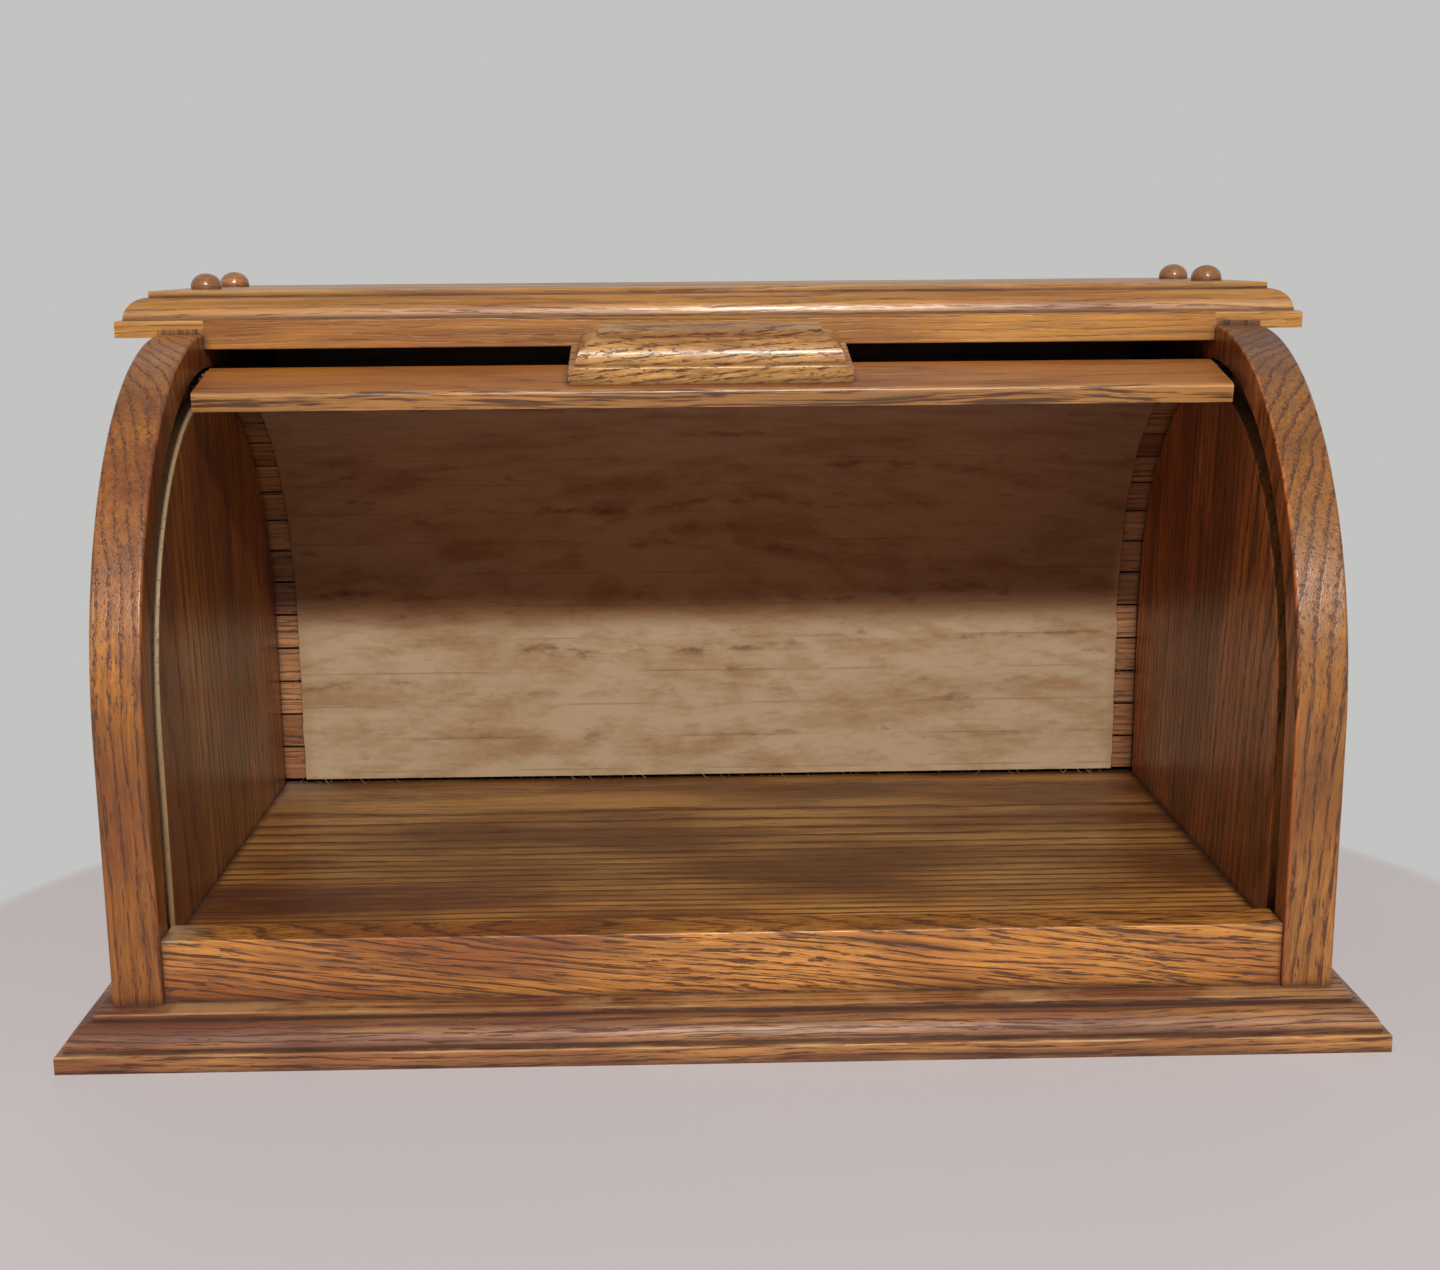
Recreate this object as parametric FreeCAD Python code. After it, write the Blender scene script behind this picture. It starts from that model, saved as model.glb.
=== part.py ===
# Roll-top bread box in oak, drawn with its tambour rolled open.
# Millimetres, +Z up, X across the width, the opening towards -Y.
# The origin is the centre of the base board's underside.
import FreeCAD, Part
import math
import os
from FreeCAD import Vector

os.makedirs("parts", exist_ok=True)

# boards
board = 18.1                 # base and top board thickness
base_width, base_depth = 478.0, 312.0
top_width = 479.0
back_y = base_depth / 2      # back edge of base, sides and top
side_thickness = 18.5
case_width = 445.0           # across the outside of the two sides
inside_x = case_width / 2 - side_thickness
side_front_y = -back_y + 20.3
top_front_y = side_front_y + 136.2
top_bottom_z = 250.7
dado = 3.3                   # how far the sides stand into the top board

# edge moulding: a flat band, a ledge, a quarter round and a small step
band, ledge, round_radius = 6.7, 2.8, 8.9
mould_inset = ledge + round_radius

# the arch of the sides and the tambour's track, one centre for all of it
arch_radius = 139.5
arch_y, arch_z = side_front_y + arch_radius, 112.5
rim_round = 1.2              # eased arris of the sides' front edges
band_round = 0.8             # eased arris of the band under the moulding
track_outer, track_inner = 126.3, 115.0
track_depth = 6.0
relief_start, relief_middle, relief_end = 95.0, 138.0, 180.0   # degrees along the arch
relief_radius_middle, relief_radius_end = 136.5, 142.2

# front rail, top rail, floor and back
rail_thickness, rail_setback, rail_top = 18.5, 2.5, 41.65
top_rail_height, top_rail_rebate = 11.5, 6.7
floor_top, floor_thickness = 34.8, 6.0
cleat_width = 14.0
panel_thickness, panel_rebate = 6.0, 8.0

# tambour
slat_count, slat_pitch, slat_gap, slat_thickness = 17, 16.0, 1.0, 6.8
slat_length = 2 * (inside_x + 5.2)
canvas_radius = 118.7        # the line on which slats and canvas bend
canvas_thickness, canvas_width = 0.8, 389.0
canvas_gap = 0.2             # left between the canvas sections of two links
curtain_first, curtain_last = 2, 13
tongue_length, tongue_rebate = 6.2, 1.0
lead_width, lead_thickness, lead_length = 38.5, 7.2, 401.0
lead_edge_angle = 85.2       # the lead rail's upper edge, degrees along the arch
lead_slope, lead_offset = 11.5, 1.2
lead_round = 2.0

# handle, fixings
handle_length, handle_depth, handle_setback = 110.5, 36.0, 7.5
handle_x = -1.5
peg_radius, peg_reach = 1.6, 5.0
peg_inset, peg_height = 2.5, 2.8   # from the rail's upper edge and from its inner face
plug_radius, plug_height, plug_shank = 6.45, 6.6, 4.75
screw_shank, screw_head = 2.0, 4.2


def save(shape, name):
    if not shape.isValid():
        raise ValueError(name + " is not a valid solid")
    shape.exportStep("parts/" + name + ".step")


def box(x0, x1, y0, y1, z0, z1):
    return Part.makeBox(x1 - x0, y1 - y0, z1 - z0, Vector(x0, y0, z0))


def on_arch(radius, degrees):
    """A (y, z) point of the arch; 0 degrees is its front, 90 its top."""
    a = math.radians(degrees)
    return arch_y - radius * math.cos(a), arch_z + radius * math.sin(a)


def extrude_x(wire, x0, x1):
    return Part.Face(wire).extrude(Vector(x1 - x0, 0, 0)).translated(Vector(x0, 0, 0))


def at_x0(yz):
    return Vector(0, yz[0], yz[1])


def line(a, b):
    return Part.LineSegment(a, b).toShape()


def arc(a, middle, b):
    return Part.Arc(a, middle, b).toShape()


def mould_cutter(length, z0):
    """The wood removed from an edge at y = 0 of a board lying towards +y."""
    top = z0 + board
    round_top = z0 + band + round_radius
    bend = round_radius * (1 - math.sqrt(0.5))
    a, b = Vector(0, -1, z0 + band), Vector(0, ledge, z0 + band)
    middle = Vector(0, ledge + bend, round_top - bend)
    c = Vector(0, mould_inset, round_top)
    d, e = Vector(0, mould_inset, top + 1), Vector(0, -1, top + 1)
    wire = Part.Wire([line(a, b), arc(b, middle, c), line(c, d), line(d, e), line(e, a)])
    return extrude_x(wire, -length / 2, length / 2)


def moulded_board(width, y0, y1, z0, moulded_back=False):
    """A board with the edge moulding on its front and ends, and its back where asked."""
    full = box(-width / 2, width / 2, y0, y1, z0, z0 + board)
    front = mould_cutter(width + 2, z0).translated(Vector(0, y0, 0))
    end = mould_cutter(3 * (y1 - y0), z0)
    left, right = end.copy(), end.copy()
    left.rotate(Vector(0, 0, 0), Vector(0, 0, 1), -90)
    right.rotate(Vector(0, 0, 0), Vector(0, 0, 1), 90)
    middle_y = (y0 + y1) / 2
    cutters = [front, left.translated(Vector(-width / 2, middle_y, 0)),
               right.translated(Vector(width / 2, middle_y, 0))]
    if moulded_back:
        back = mould_cutter(width + 2, z0)
        back.rotate(Vector(0, 0, 0), Vector(0, 0, 1), 180)
        cutters.append(back.translated(Vector(0, y1, 0)))
    shape = full.cut(cutters)
    arrises = [e for e in shape.Edges if on_band(e, width, y0, y1, z0, moulded_back)]
    return shape.makeFillet(band_round, arrises)


def on_band(edge, width, y0, y1, z0, moulded_back):
    """True for the level edges along the top of the moulding's band."""
    b = edge.BoundBox
    if abs(b.ZMin - z0 - band) > 0.01 or abs(b.ZMax - z0 - band) > 0.01:
        return False
    outside = abs(b.YMax - y0) < 0.01 or b.XMax < -width / 2 + 0.01 or b.XMin > width / 2 - 0.01
    return outside or (moulded_back and b.YMin > y1 - 0.01)


def side_outline():
    """One side board seen from its end: straight, then round up to the top board."""
    top = top_bottom_z + dado
    a, b = (side_front_y, board), (side_front_y, arch_z)
    meet = math.degrees(math.acos((arch_y - top_front_y) / arch_radius))
    c = on_arch(arch_radius, meet)
    p = [at_x0(q) for q in (a, b, c, (top_front_y, top), (back_y, top), (back_y, board))]
    half = at_x0(on_arch(arch_radius, meet / 2))
    straight = [line(p[0], p[1])] + [line(p[k], p[(k + 1) % 6]) for k in range(2, 6)]
    return Part.Wire([straight[0], arc(p[1], half, p[2])] + straight[1:])


def track_outline():
    """The groove for the tambour, with room behind the arch for the slats' swing."""
    low = rail_top - 8
    inner = [on_arch(track_inner, d) for d in (0, 90, 180)]
    outer = [on_arch(track_outer, d) for d in (0, relief_start / 2, relief_start)]
    relief = [on_arch(relief_radius_middle, relief_middle), on_arch(relief_radius_end, relief_end)]
    p = [at_x0(q) for q in inner + outer + relief]
    front_in, front_out = at_x0((inner[0][0], low)), at_x0((outer[0][0], low))
    back_in, back_out = at_x0((inner[2][0], floor_top)), at_x0((relief[1][0], floor_top))
    return Part.Wire([
        line(front_in, p[0]), arc(p[0], p[1], p[2]), line(p[2], back_in), line(back_in, back_out),
        line(back_out, p[7]), arc(p[7], p[6], p[5]), arc(p[5], p[4], p[3]),
        line(p[3], front_out), line(front_out, front_in),
    ])


def plug_places():
    """(x, y) of the four top screws and of the button plugs over them."""
    x = (case_width - side_thickness) / 2
    return [(s * x, side_front_y + y) for s in (-1, 1) for y in (190.2, 249.6)]


def base_screw_places():
    x = (case_width - side_thickness) / 2
    return [(s * x, y) for s in (-1, 1) for y in (side_front_y + 32, 20.0, back_y - 28)]


def base_rail_screw_places():
    return [(x, side_front_y + rail_setback + rail_thickness / 2) for x in (-120, 120)]


def side_board(sign):
    x0, x1 = sorted((sign * inside_x, sign * case_width / 2))
    shape = extrude_x(side_outline(), x0, x1)
    arrises = [e for e in shape.Edges if e.BoundBox.XLength < 0.01 and (
        e.BoundBox.YMax < side_front_y + 0.01 or hasattr(e.Curve, "Radius"))]
    shape = shape.makeFillet(rim_round, arrises)
    face = sign * inside_x
    g0, g1 = sorted((face - sign, face + sign * track_depth))
    shape = shape.cut(extrude_x(track_outline(), g0, g1))
    r0, r1 = sorted((face - sign, face + sign * panel_rebate))
    shape = shape.cut(box(r0, r1, back_y - panel_thickness, back_y + 1, board - 1, top_bottom_z + dado + 1))
    holes = [Part.makeCylinder(screw_shank, 22, Vector(x, y, top_bottom_z + dado - 22))
             for x, y in plug_places() if x * sign > 0]
    holes += [Part.makeCylinder(screw_shank, 22, Vector(x, y, board))
              for x, y in base_screw_places() if x * sign > 0]
    return shape.cut(holes)


def base_board():
    shape = moulded_board(base_width, -back_y, back_y, 0)
    holes = []
    for x, y in base_screw_places() + base_rail_screw_places():
        holes.append(Part.makeCylinder(screw_shank, board + 2, Vector(x, y, -1)))
        holes.append(Part.makeCone(screw_head + 0.4, screw_shank, 3.4, Vector(x, y, 0)))
    return shape.cut(holes)


def top_board():
    shape = moulded_board(top_width, top_front_y, back_y, top_bottom_z)
    cuts = []
    for sign in (-1, 1):
        x0, x1 = sorted((sign * inside_x, sign * case_width / 2))
        cuts.append(box(x0, x1, top_front_y - 1, back_y + 1, top_bottom_z - 1, top_bottom_z + dado))
    cuts.append(box(-inside_x, inside_x, top_front_y - 1, top_front_y + rail_thickness, top_bottom_z - 1,
                    top_bottom_z + top_rail_rebate))
    reach = inside_x + panel_rebate
    cuts.append(box(-reach, reach, back_y - panel_thickness, back_y + 1, top_bottom_z - 1,
                    top_bottom_z + panel_rebate))
    for x, y in plug_places():
        cuts.append(Part.makeCylinder(screw_shank, board, Vector(x, y, top_bottom_z)))
        cuts.append(Part.makeCylinder(plug_shank, 8, Vector(x, y, top_bottom_z + board - 7)))
    return shape.cut(cuts)


def top_rail():
    """The narrow rail under the front of the top board; the tambour passes below it."""
    z1 = top_bottom_z + top_rail_rebate
    z0 = z1 - top_rail_height
    shape = box(-inside_x, inside_x, top_front_y, top_front_y + rail_thickness, z0, z1)
    return shape.makeFillet(0.5, [e for e in shape.Edges if e.Length > 300 and e.BoundBox.ZMax < z0 + 0.01])


def front_rail():
    y0 = side_front_y + rail_setback
    shape = box(-inside_x, inside_x, y0, y0 + rail_thickness, board, rail_top)
    arris = [e for e in shape.Edges if e.Length > 300 and e.BoundBox.ZMin > rail_top - 1]
    shape = shape.makeFillet(0.8, arris)
    holes = [Part.makeCylinder(screw_shank, 16, Vector(x, y, board)) for x, y in base_rail_screw_places()]
    return shape.cut(holes)


def floor_panel():
    y0 = side_front_y + rail_setback + rail_thickness
    return box(-inside_x, inside_x, y0, back_y - panel_thickness, floor_top - floor_thickness, floor_top)


def floor_cleats():
    y0 = side_front_y + rail_setback + rail_thickness + 4
    y1 = back_y - panel_thickness - 4
    z1 = floor_top - floor_thickness
    places = (-inside_x + 2, -cleat_width / 2, inside_x - cleat_width - 2)
    return Part.makeCompound([box(x, x + cleat_width, y0, y1, board, z1) for x in places])


def back_panel():
    reach = inside_x + panel_rebate - 0.3
    top = top_bottom_z + panel_rebate - 0.3
    panel = box(-reach, reach, back_y - panel_thickness, back_y, board, top)
    for sign in (-1, 1):
        edge = sign * (reach + 0.3)
        corner = sorted((edge - sign * 0.6, edge + sign * 5))
        panel = panel.cut(box(corner[0], corner[1], back_y - 20, back_y + 1, top_bottom_z + dado, top + 1))
    return panel.cut(brad_shapes())


def brad_places():
    reach = inside_x + panel_rebate / 2
    heights = (board + 20, (board + top_bottom_z) / 2, top_bottom_z - 20)
    places = [(s * reach, z) for s in (-1, 1) for z in heights]
    return places + [(x, top_bottom_z + panel_rebate / 2) for x in (-110, 0, 110)]


def brad_shapes():
    """Panel pins, their heads level with the back."""
    direction = Vector(0, 1, 0)
    pins = []
    for x, z in brad_places():
        head = Part.makeCylinder(1.4, 1.2, Vector(x, back_y - 1.2, z), direction)
        shank = Part.makeCylinder(0.7, panel_thickness, Vector(x, back_y - panel_thickness, z), direction)
        pins.append(head.fuse(shank).removeSplitter())
    return pins


def link_frame(p, q):
    """Unit vectors along a link from point p to q, and out of the arch, as (y, z)."""
    length = math.hypot(q[0] - p[0], q[1] - p[1])
    along = ((q[0] - p[0]) / length, (q[1] - p[1]) / length)
    return along, (-along[1], along[0]), length


def joint_points():
    """The bending lines of the canvas, from the lead rail's upper edge to the tail."""
    step = math.degrees(slat_pitch / canvas_radius)
    points = [on_arch(canvas_radius, lead_edge_angle + step * k) for k in range(curtain_last + 1)]
    y, z = points[-1]
    drop = 2 * canvas_radius * math.sin(math.radians(step / 2))
    return points + [(y, z - drop * k) for k in range(1, slat_count - curtain_last + 1)]


def place(p, along, out, u, v):
    return Vector(0, p[0] + along[0] * u + out[0] * v, p[1] + along[1] * u + out[1] * v)


def slab(p, along, out, u0, u1, v0, v1, x_half):
    corners = [place(p, along, out, u, v) for u, v in ((u0, v0), (u1, v0), (u1, v1), (u0, v1))]
    return extrude_x(Part.makePolygon(corners + corners[:1]), -x_half, x_half)


def slat(p, q):
    """One slat: flat on the canvas side, its long outer edges eased, a thinner tongue at each end."""
    along, out, length = link_frame(p, q)
    u0, u1 = slat_gap / 2, length - slat_gap / 2
    shape = slab(p, along, out, u0, u1, 0, slat_thickness, slat_length / 2)
    top = place(p, along, out, length / 2, slat_thickness)
    normal = Vector(0, out[0], out[1])
    outer = [e for e in shape.Edges if e.Length > 300 and abs((e.CenterOfMass - top).dot(normal)) < 0.01]
    shape = shape.makeFillet(1.6, outer)
    tongue_start = slat_length / 2 - tongue_length
    tongue_top = slat_thickness - tongue_rebate
    rebates = slab(p, along, out, -1, length + 1, tongue_top, slat_thickness + 1, slat_length)
    return shape.cut(rebates.cut(box(-tongue_start, tongue_start, -300, 300, -50, 400)))


def canvas(p, q, start=canvas_gap / 2, end=canvas_gap / 2):
    along, out, length = link_frame(p, q)
    return slab(p, along, out, start, length - end, -canvas_thickness, 0, canvas_width / 2)


def lead_frame():
    """The lead rail's bending line and its directions: along it towards the slats, and out."""
    hinge = on_arch(canvas_radius + lead_offset, lead_edge_angle)
    a = math.radians(lead_slope)
    along, out = (math.cos(a), math.sin(a)), (-math.sin(a), math.cos(a))
    origin = (hinge[0] - along[0] * lead_width, hinge[1] - along[1] * lead_width)
    return origin, along, out


def screw_axis_places():
    return [(handle_x + x, handle_setback + handle_depth / 2 - 3) for x in (-30, 30)]


def to_lead(shape):
    """Moves a shape drawn flat (y along the rail's width, z out of its face) onto the lead rail."""
    origin, along, _ = lead_frame()
    moved = shape.copy()
    moved.rotate(Vector(0, 0, 0), Vector(1, 0, 0), math.degrees(math.atan2(along[1], along[0])))
    return moved.translated(Vector(0, origin[0], origin[1]))


def handle_screw_shapes():
    screws = []
    for x, y in screw_axis_places():
        head = Part.makeCone(screw_head, screw_shank, 2.6, Vector(x, y, 0))
        screws.append(head.fuse(Part.makeCylinder(screw_shank, 17, Vector(x, y, 0))).removeSplitter())
    return screws


def peg_shapes():
    """Steel pins in the rail's ends, near its upper edge, which run in the grooves."""
    y = lead_width - peg_inset
    depth = inside_x + peg_reach - lead_length / 2
    return [Part.makeCylinder(peg_radius, depth + 18, Vector(s * (lead_length / 2 - 18), y, peg_height),
                              Vector(s, 0, 0)) for s in (-1, 1)]


def lead_rail():
    shape = box(-lead_length / 2, lead_length / 2, 0, lead_width - slat_gap / 2, 0, lead_thickness)
    nose = [e for e in shape.Edges if e.Length > 300 and e.BoundBox.YMax < 1 and e.BoundBox.ZMin > 1]
    shape = shape.makeFillet(lead_round, nose)
    return to_lead(shape.cut(handle_screw_shapes() + peg_shapes()))


def handle():
    """A short moulded block, the same cutter run round all four edges."""
    shape = moulded_board(handle_length, handle_setback, handle_setback + handle_depth, lead_thickness, True)
    return to_lead(shape.translated(Vector(handle_x, 0, 0)).cut(handle_screw_shapes()))


def button_plugs():
    plugs = []
    for x, y in plug_places():
        z = top_bottom_z + board
        # a low mushroom: a short shank, a small flat under the rim, and a domed cap
        cap = Part.makeSphere(plug_radius).cut(box(-10, 10, -10, 10, -10, -plug_radius * 0.22))
        cap = cap.translated(Vector(0, 0, plug_radius * 0.22))
        squash = FreeCAD.Matrix()
        squash.scale(1, 1, plug_height / (plug_radius * 1.22))
        cap = cap.transformGeometry(squash)
        shank = Part.makeCylinder(plug_shank - 0.05, 6, Vector(0, 0, -6))
        plugs.append(cap.fuse(shank).removeSplitter().translated(Vector(x, y, z)))
    return Part.makeCompound(plugs)


def top_screws():
    bottom = top_bottom_z + board - 7
    return Part.makeCompound([
        Part.makeCylinder(screw_head, 0.9, Vector(x, y, bottom)).fuse(
            Part.makeCylinder(screw_shank, 28, Vector(x, y, bottom - 28))).removeSplitter()
        for x, y in plug_places()])


def base_screws():
    screws = []
    for x, y in base_screw_places() + base_rail_screw_places():
        head = Part.makeCone(screw_head, screw_shank, 3.1, Vector(x, y, 0.3))
        screws.append(head.fuse(Part.makeCylinder(screw_shank, 32, Vector(x, y, 0.4))).removeSplitter())
    return Part.makeCompound(screws)


save(base_board(), "base_board")
save(side_board(-1), "left_side")
save(side_board(1), "right_side")
save(top_board(), "top_board")
save(top_rail(), "top_rail")
save(front_rail(), "front_rail")
save(floor_panel(), "floor_panel")
save(floor_cleats(), "floor_cleats")
save(back_panel(), "back_panel")
save(Part.makeCompound(brad_shapes()), "back_panel_pins")
save(button_plugs(), "button_plugs")
save(top_screws(), "top_screws")
save(base_screws(), "base_screws")

save(lead_rail(), "lead_rail")
save(handle(), "handle")
save(Part.makeCompound([to_lead(s) for s in handle_screw_shapes()]), "handle_screws")
save(Part.makeCompound([to_lead(s) for s in peg_shapes()]), "guide_pegs")

links = joint_points()
for number in range(1, slat_count + 1):
    save(slat(links[number - 1], links[number]), "slat_%02d" % number)

# the canvas is one cloth; each stretch between two bending lines is a solid of its own
lead_origin, lead_along, lead_out = lead_frame()
save(slab(lead_origin, lead_along, lead_out, 3.0, lead_width - 0.6, -canvas_thickness, 0, canvas_width / 2),
     "canvas_lead")
for number in range(1, slat_count + 1):
    if number < curtain_first or number > curtain_last:
        save(canvas(links[number - 1], links[number]), "canvas_%02d" % number)
curtain = [canvas(links[n - 1], links[n]) for n in range(curtain_first, curtain_last + 1)]
save(Part.makeCompound(curtain), "canvas_curtain")
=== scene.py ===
import bpy, bmesh, math
from mathutils import Matrix, Vector, noise


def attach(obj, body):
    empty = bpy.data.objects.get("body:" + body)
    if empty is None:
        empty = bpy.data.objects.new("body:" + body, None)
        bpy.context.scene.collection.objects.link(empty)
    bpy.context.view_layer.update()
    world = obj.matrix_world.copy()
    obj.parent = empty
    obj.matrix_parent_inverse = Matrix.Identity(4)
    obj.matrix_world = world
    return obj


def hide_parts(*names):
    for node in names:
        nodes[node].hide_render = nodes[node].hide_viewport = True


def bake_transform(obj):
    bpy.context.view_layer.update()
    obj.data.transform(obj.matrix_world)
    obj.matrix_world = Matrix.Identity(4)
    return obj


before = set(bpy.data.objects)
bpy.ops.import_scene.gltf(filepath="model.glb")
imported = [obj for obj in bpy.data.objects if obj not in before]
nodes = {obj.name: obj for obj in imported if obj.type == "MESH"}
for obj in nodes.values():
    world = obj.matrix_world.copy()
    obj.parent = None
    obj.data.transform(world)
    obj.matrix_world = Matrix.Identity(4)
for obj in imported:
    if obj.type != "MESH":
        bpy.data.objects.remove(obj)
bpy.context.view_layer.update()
scene = bpy.context.scene
scene.view_settings.view_transform = "Standard"
print("frame loaded:", len(nodes), "nodes")

# camera
viewpoint = {"place": (-0.01848, -0.85189, 0.28269), "yaw": -1.363, "pitch": -13.107,
             "roll": 0.470, "lens": 51.92, "shiftUp": 0.0694}


def makeCamera(spec):
    data = bpy.data.cameras.new("viewCamera")
    data.lens, data.sensor_width, data.shift_y = spec["lens"], 36.0, spec["shiftUp"]
    data.clip_start, data.clip_end = 0.05, 30.0
    camera = bpy.data.objects.new("viewCamera", data)
    turn = (Matrix.Rotation(math.radians(spec["yaw"]), 4, "Z")
            @ Matrix.Rotation(math.pi / 2 + math.radians(spec["pitch"]), 4, "X")
            @ Matrix.Rotation(-math.radians(spec["roll"]), 4, "Z"))
    camera.matrix_world = Matrix.Translation(spec["place"]) @ turn
    scene.collection.objects.link(camera)
    scene.camera = camera


makeCamera(viewpoint)
print("camera placed")


# small helpers for building a material's nodes
def startMaterial(name):
    mat = bpy.data.materials.new(name)
    mat.use_nodes = True
    tree = mat.node_tree
    tree.nodes.clear()
    out = tree.nodes.new("ShaderNodeOutputMaterial")
    skin = tree.nodes.new("ShaderNodeBsdfPrincipled")
    tree.links.new(skin.outputs[0], out.inputs[0])
    return mat, tree, skin


def feed(tree, socket, value):
    if isinstance(value, bpy.types.NodeSocket):
        tree.links.new(value, socket)
    elif hasattr(value, "__len__") and len(value) == 3 and socket.type == "RGBA":
        socket.default_value = (*value, 1.0)
    else:
        socket.default_value = value


def maths(tree, kind, a, b=0.0, c=0.0):
    node = tree.nodes.new("ShaderNodeMath")
    node.operation = kind
    for socket, value in zip(node.inputs, (a, b, c)):
        feed(tree, socket, value)
    return node.outputs[0]


def vecMaths(tree, kind, a, b=(0, 0, 0), out=0):
    node = tree.nodes.new("ShaderNodeVectorMath")
    node.operation = kind
    feed(tree, node.inputs[0], a)
    feed(tree, node.inputs[1], b)
    return node.outputs[out]


def noiseAt(tree, vector, scale=1.0, detail=2.0, rough=0.5, colour=False):
    node = tree.nodes.new("ShaderNodeTexNoise")
    feed(tree, node.inputs["Vector"], vector)
    node.inputs["Scale"].default_value = scale
    node.inputs["Detail"].default_value = detail
    node.inputs["Roughness"].default_value = rough
    return node.outputs["Color" if colour else "Fac"]


def ramp(tree, value, low, high, toLow=0.0, toHigh=1.0, smooth=True):
    node = tree.nodes.new("ShaderNodeMapRange")
    node.interpolation_type = "SMOOTHSTEP" if smooth else "LINEAR"
    feed(tree, node.inputs["Value"], value)
    feed(tree, node.inputs["From Min"], low)
    feed(tree, node.inputs["From Max"], high)
    feed(tree, node.inputs["To Min"], toLow)
    feed(tree, node.inputs["To Max"], toHigh)
    return node.outputs["Result"]


def blendColour(tree, amount, a, b, kind="MIX"):
    node = tree.nodes.new("ShaderNodeMix")
    node.data_type, node.blend_type = "RGBA", kind
    feed(tree, node.inputs[0], amount)
    feed(tree, node.inputs[6], a)
    feed(tree, node.inputs[7], b)
    return node.outputs[2]


def place3(tree):
    return tree.nodes.new("ShaderNodeTexCoord").outputs["Object"]


def split(tree, vector):
    node = tree.nodes.new("ShaderNodeSeparateXYZ")
    feed(tree, node.inputs[0], vector)
    return node.outputs


oakLook = {"grain": "X", "pith": (0.0, -0.060, -0.085), "tilt": (0.0, 0.0, 0.0),
           "honey": (0.47, 0.205, 0.045), "brown": (0.25, 0.085, 0.016), "poreColour": (0.066, 0.018, 0.005),
           "ring": 0.0030, "wander": 0.012, "early": 0.40, "pore": 0.80, "dense": 0.605, "fibre": 0.95, "blotch": (0.38, 0.66),
           # the corner-darkening keys on the next line set painted shade with grime in corners and joints
           "streak": 0.45, "grime": 0.85, "grimeColour": (0.050, 0.016, 0.008), "grimeReach": 0.005,
           "wear": 0.35, "wearColour": (0.60, 0.34, 0.14), "rough": 0.36, "coat": 0.16, "relief": 0.00022, "seed": 0.0}


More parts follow.
